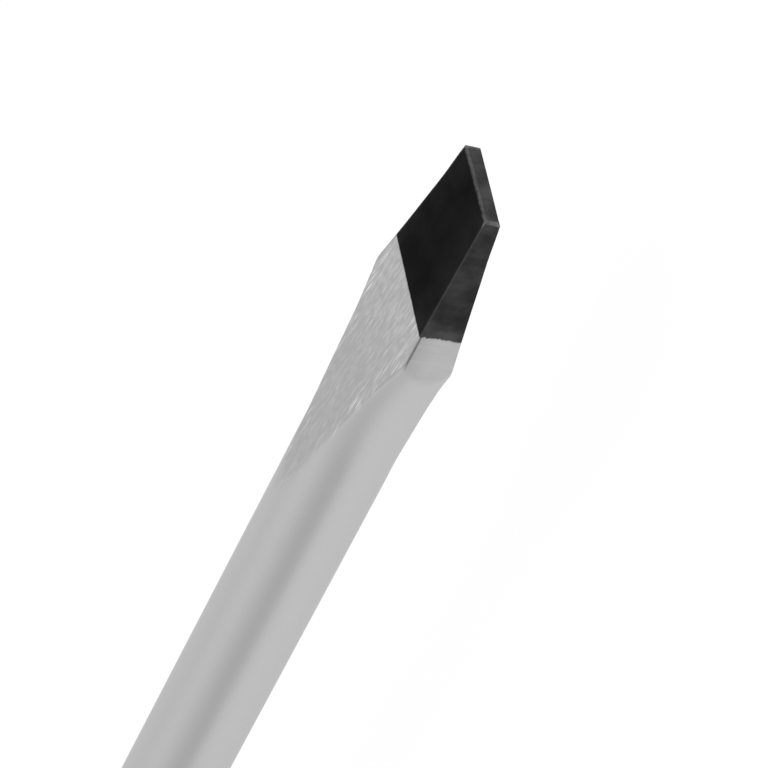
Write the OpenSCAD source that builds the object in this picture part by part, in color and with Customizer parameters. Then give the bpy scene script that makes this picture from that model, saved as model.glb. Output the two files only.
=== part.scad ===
// Reversible screwdriver: a double-ended blade held in a hand grip by a keyed bush and a spring.
// The axis runs along X with the slotted tip at +X. The tool lies on a flat of its grip, at Z = 0.
// Inside the modules u is the distance behind the mouth of the ferrule.

/* [Bar] */
// Diameter of the round bar
bar_d = 6; // [5.8:0.1:6]
// Length of the bar from tip to tip
blade_l = 200; // [190:1:210]

/* [Slotted tip] */
// Width of the tip
tip_w = 6.3; // [5.8:0.1:6.5]
// Thickness of the tip
tip_t = 0.78; // [0.6:0.02:0.9]
// Slope of each broad flat, in degrees
flat_slope = 5.8; // [5.6:0.1:6]
// Slope of each ground side, in degrees
side_slope = 6; // [5.5:0.1:6.2]
// Length of the forged flare
flare_l = 20; // [18:0.5:20]
// Radius of the flare's hollow outline
flare_r = 30; // [30:1:34]

/* [Cross tip] */
// Diameter of the blunt point
point_d = 2; // [1.8:0.1:2.4]
// Half angle of the point, in degrees
point_angle = 26.5; // [25:0.5:28]
// Distance of a flute's root from the axis at the point
flute_root = 0.7; // [0.6:0.05:0.8]
// Slope of a flute's root, in degrees
flute_slope = 11; // [10:0.5:12]

/* [Wings and detent] */
// Width across the two wings
wing_w = 10; // [9.8:0.1:10.2]
// Length of the wings along the bar
wing_l = 10; // [8:0.5:11]
// Thickness of a wing at its edge
wing_t = 2.8; // [2.7:0.1:3]
// Distance from the middle of the wings to each detent groove
detent_gap = 13.8; // [13.5:0.1:15]
// Diameter of the spring wire
wire_d = 1.1; // [1:0.1:1.1]

/* [Socket] */
// Depth of the middle of the wings behind the mouth
wing_u = 7.5; // [7:0.1:8]
// Thickness of the ferrule's sheet
sheet_t = 1; // [0.8:0.1:1]
// Length of the ferrule
ferrule_l = 13; // [12:0.5:13]
// Width across the flats of the hexagonal bush
bush_af = 12.6; // [12.6:0.1:12.8]

/* [Grip] */
// Largest radius of the palm swell
palm_r = 15.4; // [15.2:0.1:15.6]
// Smallest radius at the waist
waist_r = 11.4; // [11:0.1:11.8]
// Largest radius of the finger flange
flange_r = 15.6; // [15.4:0.1:15.8]
// Distance from the axis to the flats that the tool lies on
rest_h = 14; // [13.8:0.1:14.2]
// Height of the soft pads above the hard flats
pad_proud = 0.3; // [0.2:0.1:0.4]
// Length of a soft pad
pad_l = 36; // [32:1:38]
// Width of a soft pad
pad_w = 8.6; // [8:0.2:9]
// Number of grip flats and pads
flats = 6; // [6]

/* [Hanging hole] */
// Diameter of the hanging hole
hang_d = 5.5; // [5:0.5:5.5]
// Width across the two flats that the hole passes through
hang_w = 17; // [16:0.5:18]

/* [Hidden] */
// Moulded and pressed fits within the grip
fit = 0.05;
// Running fit of the blade in its socket
run = 0.08;
bar_r = bar_d / 2;
exposed_l = blade_l / 2 - wing_u;
inner_l = blade_l / 2 + wing_u;
cross_l = 20;
cone_l = (bar_r - point_d / 2) / tan(point_angle);

// Wing section: flat edges of wing_t, and sloping faces that meet the bar at the root
root_y = 2;
root_z = 2.3;
wing_rise = (root_z - wing_t / 2) / (wing_w / 2 - root_y);
wing_bevel = 2;
pass_w = wing_w - 1.1;
dent_r = 14;
dent_depth = 0.55;

// Detent: a turned groove in the bar, and a wire just clear of its floor
groove_r = 0.7;
groove_depth = 0.5;
wire_r = wire_d / 2;
leg_z = bar_r - groove_depth + fit + wire_r;
bend_y = -1.9;
leg_end = 4.2;
spring_u = wing_u + detent_gap;
spring_gap = 0.7;
bush_end = spring_u - spring_gap;
cup_floor = spring_u + spring_gap;
cup_end = cup_floor + 1.2;
cup_r = bush_af / 2 - fit;
cup_wall = 0.4;
wing_end = wing_u + wing_l / 2;

// Ferrule and core
nose_r = 8.2;
ferrule_r = nose_r + sheet_t - 0.2;
ferrule_round = 0.9;
bead_l = 2.2;
bead_r = ferrule_r + 0.4;
nose_end = 26;
tail_r = 6.8;
bore_r = 4.75;
rib_w = 2.4;

// Grip stations along the axis
cap_u = inner_l - 0.5;
handle_l = cap_u + 12;
rib_end = cap_u - 6;
spigot_r = 9.5;
nose_x = (handle_l - exposed_l) / 2;

// Grip outline: neck, fillet, flange, waist and palm, each tangent to the next, as [u, radius]
neck_r = bead_r + 0.3;
fillet_r = 4;
crown_r = 7;
hollow_r = 22;
swell_r = 130;
palm_u = cap_u - 27;
palm_c = [palm_u, palm_r - swell_r];
hollow_v = waist_r + hollow_r;
hollow_c = [palm_u - leg(swell_r + hollow_r, hollow_v - palm_c[1]), hollow_v];
crown_v = flange_r - crown_r;
crown_c = [hollow_c[0] - leg(hollow_r + crown_r, hollow_v - crown_v), crown_v];
fillet_v = neck_r + fillet_r;
fillet_c = [crown_c[0] - leg(crown_r + fillet_r, fillet_v - crown_v), fillet_v];
palm_end = acos((cap_u - palm_u) / swell_r);
grip_outline = concat(
    [[ferrule_l, 0], [ferrule_l, neck_r]],
    arc(fillet_c, fillet_r, -90, bearing(fillet_c, crown_c), 6),
    arc(crown_c, crown_r, bearing(crown_c, fillet_c), bearing(crown_c, hollow_c), 12),
    arc(hollow_c, hollow_r, bearing(hollow_c, crown_c), bearing(hollow_c, palm_c), 12),
    arc(palm_c, swell_r, bearing(palm_c, hollow_c), palm_end, 14),
    [[cap_u, 0]]
);

// Thumb ring in the waist
ring_half = 8;
ring_floor = waist_r - 1.6;
ring_ribs = 5;
ring_pitch = 2.6;
ring_groove_r = 0.7;

// Soft pads
hard_h = rest_h - pad_proud;
pad_floor = hard_h - 2;
pad_ribs = 7;
pad_pitch = 3.6;
pad_groove_r = 0.9;

// End cap and its disc
cap_r = 12.4;
cap_round = 6;
hang_u = cap_u + 6;
socket_end = inner_l + 1;
hang_flat_u = cap_u + 1.5;
disc_r = 5.2;
disc_t = 1.2;
sign_t = 0.35;
sign_l = 3.4;
sign_w = 0.8;
sign_y = 2.3;

PAD_NODES = [for (i = [1:flats]) str("grip_pad_", i)];
$fn = 96;

// Third side of a right triangle
function leg(long, side) = sqrt(long * long - side * side);
// Direction from one point to another, in degrees
function bearing(p, q) = atan2(q[1] - p[1], q[0] - p[0]);
// Points along an arc of n steps
function arc(c, r, a0, a1, n) = [for (i = [0:n]) let (a = a0 + (a1 - a0) * i / n) c + r * [cos(a), sin(a)]];
// Radius of the waist's hollow at a station
function hollow_at(u) = hollow_v - leg(hollow_r, u - hollow_c[0]);
// Half height of the wing section at a distance from the axis
function wing_half(y) = wing_t / 2 + (wing_w / 2 - y) * wing_rise;

// Moves the axis frame to where the tool lies
module lying() translate([nose_x, 0, rest_h]) children();

// Round bar between two stations
module rod(u0, u1, r) translate([-u1, 0, 0]) rotate([0, 90, 0]) cylinder(r = r, h = u1 - u0);

// Hexagonal bar with flats at the top and bottom
module hex_rod(u0, u1, af) translate([-u1, 0, 0]) rotate([0, 90, 0]) rotate([0, 0, 30])
    cylinder(r = af / 2 / cos(30), h = u1 - u0, $fn = 6);

// Turned shape from an outline of [radius, u]
module lathe() rotate([0, -90, 0]) rotate_extrude() children();

// Straight shape along the axis from a section of [y, z]
module prism(u0, u1) translate([-u1, 0, 0]) rotate([90, 0, 90]) linear_extrude(u1 - u0) children();

// Section of the wings, cut off at half_w and grown in height for a fit
module wing_section(half_w, grow) {
    edge_z = wing_half(half_w) + grow;
    core_z = root_z + grow;
    polygon([[half_w, -edge_z], [half_w, edge_z], [root_y, core_z], [-root_y, core_z],
        [-half_w, edge_z], [-half_w, -edge_z], [-root_y, -core_z], [root_y, -core_z]]);
}

// Opening that passes the bar and a wing section
module socket_section(half_w) {
    circle(r = bar_r + run);
    wing_section(half_w, run);
}

// Slotted end with its tip at the origin
module slotted_end() difference() {
    lathe() difference() {
        square([tip_w * 0.9, flare_l]);
        translate([bar_r + flare_r, flare_l]) circle(r = flare_r, $fn = 200);
    }
    broad_flats();
    for (k = [0, 1]) mirror([0, k, 0])
        translate([0, tip_w / 2, 0]) rotate([0, 0, -side_slope]) translate([-16, 0, -8]) cube([18, 8, 16]);
}

// Waste above and below the two broad flats
module broad_flats() for (k = [0, 1]) mirror([0, 0, k])
    translate([0, 0, tip_t / 2]) rotate([0, flat_slope, 0]) translate([-30, -8, 0]) cube([32, 16, 8]);

// Cross end with its point at the origin
module cross_end() difference() {
    lathe() polygon([[0, 0], [point_d / 2, 0], [bar_r, cone_l], [bar_r, cross_l], [0, cross_l]]);
    for (k = [0:3]) rotate([45 + 90 * k, 0, 0]) translate([0, 0, flute_root])
        rotate([0, flute_slope, 0]) rotate([45, 0, 0]) translate([-22, 0, 0]) cube([24, 5, 5]);
}

// Two wings pressed out of the bar, bevelled at their ends
module wings() intersection() {
    prism(wing_u - wing_l / 2, wing_end) wing_section(wing_w / 2, 0);
    translate([-wing_u, 0, -bar_r]) linear_extrude(bar_d) polygon([
        for (q = [[1, 1], [-1, 1], [-1, -1], [1, -1]], k = [0, 1])
            let (on_side = (q[0] * q[1] > 0) == (k == 0))
            [q[0] * (wing_l / 2 - (on_side ? 0 : wing_bevel)), q[1] * (wing_w / 2 - (on_side ? wing_bevel : 0))]
    ]);
}

module reversible_blade() color("silver") lying() difference() {
    union() {
        translate([exposed_l, 0, 0]) slotted_end();
        rod(flare_l - exposed_l, inner_l - cross_l, bar_r);
        translate([-inner_l, 0, 0]) mirror([1, 0, 0]) cross_end();
        wings();
    }
    translate([exposed_l, 0, 0]) broad_flats();
    for (k = [-1, 1]) translate([-wing_u, 0, k * (bar_r - dent_depth + dent_r)]) rotate([90, 0, 0])
        cylinder(r = dent_r, h = bar_d, center = true);
    for (k = [-1, 1]) translate([-wing_u + k * detent_gap, 0, 0]) lathe()
        translate([bar_r - groove_depth + groove_r, 0]) circle(r = groove_r);
}

module ferrule() color("lightgray") lying() difference() {
    lathe() polygon(concat(
        [[0, 0]],
        arc([ferrule_r - ferrule_round, ferrule_round], ferrule_round, -90, 0, 6),
        [[ferrule_r, ferrule_l - bead_l - 0.4], [bead_r, ferrule_l - bead_l], [bead_r, ferrule_l],
            [nose_r + fit, ferrule_l], [nose_r + fit, sheet_t], [0, sheet_t]]
    ));
    prism(-1, sheet_t + 1) socket_section(wing_w / 2 + run);
}

module drive_bush() color("darkgray") lying() difference() {
    hex_rod(sheet_t, bush_end, bush_af);
    prism(sheet_t - 1, wing_end + fit) socket_section(wing_w / 2 + run);
    prism(sheet_t - 1, bush_end + 1) socket_section(pass_w / 2);
}

// Wire bent into a U, with its legs above and below the bar
module detent_spring() color("dimgray") lying() translate([-spring_u, 0, 0]) {
    for (k = [-1, 1]) translate([0, bend_y, k * leg_z]) rotate([-90, 0, 0])
        cylinder(r = wire_r, h = leg_end - bend_y);
    translate([0, bend_y, 0]) rotate([0, 90, 0]) rotate([0, 0, 180])
        rotate_extrude(angle = 180) translate([leg_z, 0]) circle(r = wire_r);
}

module spring_cup() color("lightgray") lying() difference() {
    rod(bush_end, cup_end, cup_r);
    rod(bush_end - 1, cup_floor, cup_r - cup_wall);
    prism(bush_end, cup_end + 1) socket_section(pass_w / 2);
}

// Outside of the core: nose, tail and the ribs that lock it in the body
module core_outside(grow) {
    rod(sheet_t, nose_end, nose_r + grow);
    rod(nose_end - 1, cap_u, tail_r + grow);
    for (i = [1:flats]) rotate([i * 360 / flats, 0, 0])
        translate([-rib_end - grow, -rib_w / 2 - grow, 0])
            cube([rib_end + grow - nose_end + 1, rib_w + 2 * grow, nose_r - 0.1 + grow]);
}

module handle_core() color("dimgray") lying() difference() {
    core_outside(0);
    hex_rod(sheet_t - 1, cup_end, bush_af + 2 * fit);
    rod(cup_end - 1, cap_u + 1, bore_r);
}

// Outline of a soft pad, grown for its pocket
module pad_outline(grow) {
    half = (pad_l - pad_w) / 2;
    r = pad_w / 2 + grow;
    polygon(concat(arc([half, 0], r, -90, 90, 12), arc([-half, 0], r, 90, 270, 12)));
}

// Sets children on a flat, at the middle of the palm
module on_flat(i) rotate([i * 360 / flats, 0, 0]) translate([-palm_u, 0, 0]) children();

module handle_body() color("royalblue") lying() difference() {
    intersection() {
        lathe() polygon([for (p = grip_outline) [p[1], p[0]]]);
        union() {
            hex_rod(ferrule_l - 1, hollow_c[0] + 1, 2 * rest_h);
            hex_rod(hollow_c[0], cap_u + 1, 2 * hard_h);
        }
    }
    core_outside(fit);
    rod(rib_end, cap_u + 1, spigot_r + fit);
    ring_seat();
    for (i = [1:flats]) on_flat(i) translate([0, 0, pad_floor]) linear_extrude(5) pad_outline(fit);
}

// Seat of the thumb ring, open to the outside
module ring_seat() difference() {
    rod(hollow_c[0] - ring_half - fit, hollow_c[0] + ring_half + fit, flange_r + 1);
    rod(hollow_c[0] - ring_half - 1, hollow_c[0] + ring_half + 1, ring_floor);
}

module thumb_ring() color("black") lying() difference() {
    lathe() polygon(concat(
        [for (i = [-6:6]) let (u = hollow_c[0] + i * ring_half / 6) [hollow_at(u), u]],
        [[ring_floor + fit, hollow_c[0] + ring_half], [ring_floor + fit, hollow_c[0] - ring_half]]
    ));
    for (i = [0:ring_ribs - 1]) let (u = hollow_c[0] + (i - (ring_ribs - 1) / 2) * ring_pitch)
        lathe() translate([hollow_at(u) + ring_groove_r * 0.4, u]) circle(r = ring_groove_r);
}

module grip_pad(i) color("black") lying() on_flat(i) difference() {
    translate([0, 0, pad_floor]) linear_extrude(rest_h - pad_floor) pad_outline(0);
    for (j = [0:pad_ribs - 1]) translate([(j - (pad_ribs - 1) / 2) * pad_pitch, 0, rest_h + pad_groove_r * 0.4])
        rotate([90, 0, 0]) cylinder(r = pad_groove_r, h = pad_w + 2, center = true);
}

module end_cap() color("dimgray") lying() difference() {
    union() {
        lathe() polygon(concat(
            [[0, cap_u], [cap_r, cap_u]],
            arc([cap_r - cap_round, handle_l - cap_round], cap_round, 0, 90, 10),
            [[0, handle_l]]
        ));
        rod(rib_end + fit, cap_u + 1, spigot_r);
    }
    rod(rib_end - 1, cap_u, tail_r + fit);
    rod(cap_u - 1, socket_end, bore_r);
    for (k = [0, 1]) mirror([0, k, 0]) translate([-handle_l - 1, hang_w / 2, -cap_r - 1])
        cube([handle_l + 1 - hang_flat_u, cap_r, 2 * cap_r + 2]);
    translate([-hang_u, 0, 0]) rotate([90, 0, 0]) cylinder(d = hang_d, h = 2 * cap_r, center = true);
    rod(handle_l - disc_t, handle_l + 1, disc_r + fit);
}

// Disc with two shallow signs, a bar for the slotted end and a cross for the other
module end_disc() color("gainsboro") lying() difference() {
    rod(handle_l - disc_t, handle_l, disc_r);
    translate([-handle_l, sign_y, 0]) cube([2 * sign_t, sign_l, sign_w], center = true);
    for (a = [0, 90]) translate([-handle_l, -sign_y, 0]) rotate([a, 0, 0])
        cube([2 * sign_t, sign_l, sign_w], center = true);
}

reversible_blade();
ferrule();
drive_bush();
detent_spring();
spring_cup();
handle_core();
handle_body();
thumb_ring();
for (i = [1:flats]) grip_pad(i);
end_cap();
end_disc();
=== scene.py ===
import bmesh
import bpy
import numpy as np
from functools import partial
from mathutils import Matrix, Vector


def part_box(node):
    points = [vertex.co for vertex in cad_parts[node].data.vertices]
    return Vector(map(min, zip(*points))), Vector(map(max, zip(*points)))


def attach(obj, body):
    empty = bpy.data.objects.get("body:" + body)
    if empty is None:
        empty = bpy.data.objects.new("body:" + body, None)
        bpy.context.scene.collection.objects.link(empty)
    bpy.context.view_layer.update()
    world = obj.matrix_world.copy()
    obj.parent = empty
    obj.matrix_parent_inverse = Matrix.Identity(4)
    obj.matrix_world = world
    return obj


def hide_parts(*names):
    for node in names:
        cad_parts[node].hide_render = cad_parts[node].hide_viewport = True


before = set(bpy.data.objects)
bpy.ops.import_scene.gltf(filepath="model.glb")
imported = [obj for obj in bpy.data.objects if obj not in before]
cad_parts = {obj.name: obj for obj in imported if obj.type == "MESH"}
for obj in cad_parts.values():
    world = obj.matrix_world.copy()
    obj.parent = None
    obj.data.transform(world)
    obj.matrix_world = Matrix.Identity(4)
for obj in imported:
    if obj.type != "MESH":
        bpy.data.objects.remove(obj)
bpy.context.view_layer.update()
mm = 0.001

# The tool lies along X. Sizes of its pieces are in mm. s runs back from the slotted tip, and u runs
# back from the mouth of the ferrule.
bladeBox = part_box("reversible_blade")
tipX = bladeBox[1].x / mm
axisZ = (bladeBox[0].z + bladeBox[1].z) / 2 / mm
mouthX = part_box("ferrule")[1].x / mm
print("frame:", len(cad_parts), "nodes, tip at", round(tipX, 2), "mouth at", round(mouthX, 2))


# Small helpers for numbers

def nodeSpan(node):  # the u at which a CAD node starts and ends
    low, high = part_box(node)
    return mouthX - high.x / mm, mouthX - low.x / mm


def smooth(t):  # 0 to 1 with level ends
    t = np.clip(t, 0, 1)
    return t * t * (3 - 2 * t)


def stations(start, *stretches):  # rising places from start on, each stretch given as (end, steps)
    parts = []
    for end, steps in stretches:
        parts.append(np.linspace(start, end, steps, endpoint=False))
        start = end
    return np.concatenate(parts + [[start]])


def evenly(count, pitch):  # places a pitch apart, centred on 0
    return (np.arange(count) - (count - 1) / 2) * pitch


def fullTurn(columns):  # one row of angles round the axis
    return np.arange(columns)[None] * 2 * np.pi / columns


def softMin(power, *gauges):  # least radius with rounded joins, where each gauge is 1 / radius
    return sum(gauge ** power for gauge in gauges) ** (-1 / power)


def rimDrop(inward, radius):  # how far a quarter-round falls at this distance in from the rim
    return radius * (1 - np.sqrt(1 - np.clip(1 - inward / radius, 0, 1) ** 2))


def grooveDip(along, spots, width, depth):  # depth * cos squared, down to 0 half a width from each spot
    near = np.abs(along[:, None] - spots).min(1)
    return depth * np.cos(np.pi * np.clip(near / width, 0, 0.5)) ** 2


def bearing(p, q):  # direction from p to q in degrees
    return np.degrees(np.arctan2(q[1] - p[1], q[0] - p[0]))


def arcPoints(centre, radius, fromDeg, toDeg, count):  # centre + radius * (cos, sin), as (u, r)
    turn = np.radians(np.linspace(fromDeg, toDeg, count))
    return np.stack([centre[0] + radius * np.cos(turn), centre[1] + radius * np.sin(turn)], -1)


def fromMouth(u, y, z):  # u, across and up from the axis, as points in the frame
    u, y, z = np.broadcast_arrays(u, y, z)
    return np.stack([mouthX - u, y, axisZ + z], -1)


def roundAxis(u, radius, angle):  # polar place round the tool's axis, as points in the frame
    return fromMouth(u, radius * np.cos(angle), radius * np.sin(angle))


# Small helpers for meshes and objects

def surface(name, points, ends="fan", without=None):
    # Joins a grid of points[row, column] whose columns close round. The rows end in a fan to their
    # middle, join up as a ring, or stay open. Cells marked in without are left out.
    rows, columns = points.shape[:2]
    index = np.arange(rows * columns).reshape(rows, columns)
    verts = points.reshape(-1, 3)
    here = index if ends == "ring" else index[:-1]
    after = np.roll(index, -1, 0) if ends == "ring" else index[1:]
    quads = np.stack([here, np.roll(here, -1, 1), np.roll(after, -1, 1), after], -1)
    quads = quads.reshape(-1, 4) if without is None else quads[~without]
    fans = np.zeros((0, 3), int)
    if ends == "fan":
        verts = np.concatenate([verts, points[[0, -1]].mean(1)])
        middle = np.full(columns, rows * columns)
        start = np.stack([middle, np.roll(index[0], -1), index[0]], -1)
        end = np.stack([middle + 1, index[-1], np.roll(index[-1], -1)], -1)
        fans = np.concatenate([start, end])
    # a volume below 0 means that the faces point inwards
    corner = verts[np.concatenate([quads[:, :3], quads[:, [0, 2, 3]], fans])]
    volume = np.einsum("ij,ij->i", corner[:, 0], np.cross(corner[:, 1], corner[:, 2])).sum()
    if volume < 0:
        quads, fans = quads[:, ::-1], fans[:, ::-1]
    mesh = bpy.data.meshes.new(name)
    mesh.from_pydata((verts * mm).tolist(), [], quads.tolist() + fans.tolist())
    mesh.shade_smooth()
    return mesh


def paint(mesh, name, values):  # four numbers at each grid point, for a material to read
    rows = np.zeros((len(mesh.vertices), 4), np.float32)
    rows[:values.size // 4] = values.reshape(-1, 4)
    mesh.attributes.new(name, "FLOAT_COLOR", "POINT").data.foreach_set("color", rows.ravel())


def addObject(name, data):  # a new object in the scene
    item = bpy.data.objects.new(name, data)
    bpy.context.scene.collection.objects.link(item)
    return item


def place(mesh, material, body, node):  # a piece named like its mesh, in place of a CAD node
    piece = addObject(mesh.name, mesh)
    mesh.materials.append(material)
    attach(piece, body)
    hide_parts(node)
    print("piece", piece.name, len(mesh.polygons), "faces")


# Small helpers for materials. A node's sockets are given by name, or in their own order: a Math takes
# its numbers, a Mix its share and two values, a MapRange its value and the ends of both ranges, and a
# TexNoise its vector, scale and detail.

noiseSpan = (0.3, 0.7)  # where nearly all values of a noise lie


def linear(hexText):  # sRGB hex to linear colour
    rgb = np.array([int(hexText[i:i + 2], 16) for i in (1, 3, 5)]) / 255
    lin = np.where(rgb <= 0.04045, rgb / 12.92, ((rgb + 0.055) / 1.055) ** 2.4)
    return (*lin.tolist(), 1.0)


def wire(node, sockets):  # numbers, colours as hex text, or links for a node's sockets
    if isinstance(sockets, dict):
        pairs = [(node.inputs[key], value) for key, value in sockets.items()]
    else:
        pairs = zip([socket for socket in node.inputs if socket.enabled], sockets)
    for socket, value in pairs:
        if isinstance(value, bpy.types.NodeSocket):
            node.id_data.links.new(value, socket)
        else:
            socket.default_value = linear(value) if isinstance(value, str) else value


def addNode(tree, kind, sockets=(), **settings):  # a node with its settings and links; gives its result
    node = tree.nodes.new("ShaderNode" + kind)
    for key, value in settings.items():
        setattr(node, key, value)
    wire(node, sockets)
    return next((socket for socket in node.outputs if socket.enabled), None)


def newMaterial(name):  # a material, addNode for its own tree, and its main shader
    material = bpy.data.materials.new(name)
    material.use_nodes = True
    tree = material.node_tree
    return material, partial(addNode, tree), tree.nodes["Principled BSDF"]


# Blade: one closed surface in (s, angle). The radius is the soft least of the side, flat, bar,
# cone, flute and dent limits, joined to the wings by a soft greatest.

blade = {
    "length": 200.0, "barRadius": 3.0, "sharpness": 70, "endRows": (0.5, 0.96),
    # slotted tip: half width and half thickness at the end, rise per mm, worn edges
    "tipHalfWidth": 3.068, "sideRise": 0.0838, "sideHollow": 0.0034, "sideEdge": 0.06,
    "tipHalfThickness": 0.4604, "flatRise": 0.0968, "flatOffset": 0.067,
    "tipEdge": 0.1, "underEdge": 0.06,
    # lean of the upper and lower flat and of the near and far side, gone after its run
    "twist": 0.04, "lean": 0.06, "leanRun": 5.0, "sideLean": 0.15, "farLean": 0.1, "sideLeanRun": 3.0,
    "flareEnd": 21.8, "flareRadius": 33.5, "flareHeight": 3.455, "flareRun": 6.46,
    "grooves": (86.2, 113.8), "grooveRadius": 0.7, "grooveDepth": 0.5, "grooveReach": 1.2,
    "wingMiddle": 100.0, "wingHalfLength": 5.0, "wingRamp": 2.4, "wingBlend": 40, "wingSink": 0.6,
    "wingRoot": 2.4, "wingHalfWidth": 5.0, "wingSlope": 0.3, "wingFace": 2.9, "wingTop": 2.3,
    "dentRadius": 14.0, "dentDepth": 0.55, "dentReach": 8.0,
    # cross tip: radius and rise of its cone, depth and rise of its flutes
    "pointRadius": 1.0, "pointRise": np.tan(np.radians(26.5)),
    "fluteRoot": 0.7, "fluteRise": np.tan(np.radians(11)),
}


def bladeLimits(s):
    # Half width, height of the upper and lower flat, and half axes of the bar at each station. Sides
    # and flats rise in a straight line from a quarter-round edge; grinding leaves the sides a little
    # hollow and the tip a little above the axis. The flare is an arc across and a smooth step in
    # height, and each detent groove is a half-round cut.
    b = blade
    width = b["tipHalfWidth"] + b["sideRise"] * s + b["sideHollow"] * s ** 2 - rimDrop(s, b["sideEdge"])
    middle = b["tipHalfThickness"] + b["flatRise"] * s
    upper = middle + b["flatOffset"] - rimDrop(s, b["tipEdge"])
    lower = middle - b["flatOffset"] - rimDrop(s, b["underEdge"])
    back = np.clip(b["flareEnd"] - s, 0, None)
    barWide = b["barRadius"] + b["flareRadius"] - np.sqrt(b["flareRadius"] ** 2 - back ** 2)
    barHigh = b["barRadius"] + (b["flareHeight"] - b["barRadius"]) * smooth(back / b["flareRun"])
    for centre in b["grooves"]:
        along = np.abs(s - centre)
        floor = b["barRadius"] - b["grooveDepth"] + b["grooveRadius"]
        floor = floor - np.sqrt(np.clip(b["grooveRadius"] ** 2 - along ** 2, 0, None))
        floor = np.where(along < b["grooveRadius"], floor, np.inf)
        barWide = np.minimum(barWide, floor)
        barHigh = np.minimum(barHigh, floor)
    return width, upper, lower, barWide, barHigh


def flatReach(width, height, barWide, barHigh):  # half width of a flat, where the sides or the bar end it
    return np.minimum(width, barWide * np.sqrt(np.clip(1 - (height / barHigh) ** 2, 0, 1)))


def coneRadius(s):  # the cross tip's cone, which widens evenly from its point
    return blade["pointRadius"] + blade["pointRise"] * (blade["length"] - s)


def armHalf(s):  # half thickness of the cross tip's arms, which its flutes leave
    return (blade["fluteRoot"] + blade["fluteRise"] * (blade["length"] - s)) / np.sqrt(2)


def bladeRadius(s, angle):
    # Radius at (s, angle), with the shares of flat and side in the limit there and the flat's height.
    # Each limit is a gauge, 1 / radius: a plane's is its normal's part along the ray over its distance.
    b, power = blade, blade["sharpness"]
    cosine, sine = np.abs(np.cos(angle)), np.abs(np.sin(angle))
    onTop, near = np.sin(angle) > 0, np.cos(angle) < 0
    width, upper, lower, barWide, barHigh = bladeLimits(s)
    # close to the tip both flats lean a little across, and both sides a little in height
    height = np.where(onTop, upper, lower)
    across = np.clip(height * np.cos(angle) / np.maximum(sine, 0.01) / width, -1, 1)
    height = height + np.where(onTop, -b["twist"], b["lean"]) * across * (1 - smooth(s / b["leanRun"]))
    slope = np.where(near, b["sideLean"], -b["farLean"]) * (1 - smooth(s / b["sideLeanRun"]))
    leaned = width + np.abs(slope) * np.where(near, upper, lower)
    fromMiddle = np.abs(s - b["wingMiddle"])
    dent = b["barRadius"] - b["dentDepth"] + b["dentRadius"]
    dent = dent - np.sqrt(b["dentRadius"] ** 2 - np.clip(fromMiddle, 0, b["dentReach"]) ** 2)
    gauges = [sine / height, (cosine + slope * np.sin(angle)) / leaned,
              np.sqrt((cosine / barWide) ** 2 + (sine / barHigh) ** 2), 1 / coneRadius(s) + 0 * cosine,
              np.minimum(cosine, sine) / armHalf(s), sine / dent]
    powers = [gauge ** power for gauge in gauges]
    total = sum(powers)
    core = total ** (-1 / power)
    # each wing grows out of the bar over a ramp at both its ends
    grow = smooth((b["wingHalfLength"] - fromMiddle) / b["wingRamp"])
    sink = b["wingSink"] * (1 - grow)
    wing = softMin(power, cosine / (b["wingRoot"] + grow * (b["wingHalfWidth"] - b["wingRoot"])),
                   (sine + b["wingSlope"] * cosine) / (b["wingFace"] - sink), sine / (b["wingTop"] - sink))
    wing = np.where(fromMiddle < b["wingHalfLength"], wing, 0)
    radius = (core ** b["wingBlend"] + wing ** b["wingBlend"]) ** (1 / b["wingBlend"])
    return radius, powers[0] / total, powers[1] / total, height


# Where the columns round the blade gather: two corners on each quarter, at the borders of side and
# flat, then at even angles on the bar, at the corners of the wings, and at the edges of the cross
bladeColumns = {
    "counts": (8, 12, 12), "sideShare": 0.85, "flatShare": 0.93,
    "evenAngle": 25.0, "evenRun": 5.0, "sideOut": 11.4, "flatOut": 25.2,
    "wingAngles": (16.0, 49.0), "wingReach": 8.0, "crossReach": 15.0, "changeRun": 3.0, "armMost": 0.69,
}


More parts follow.
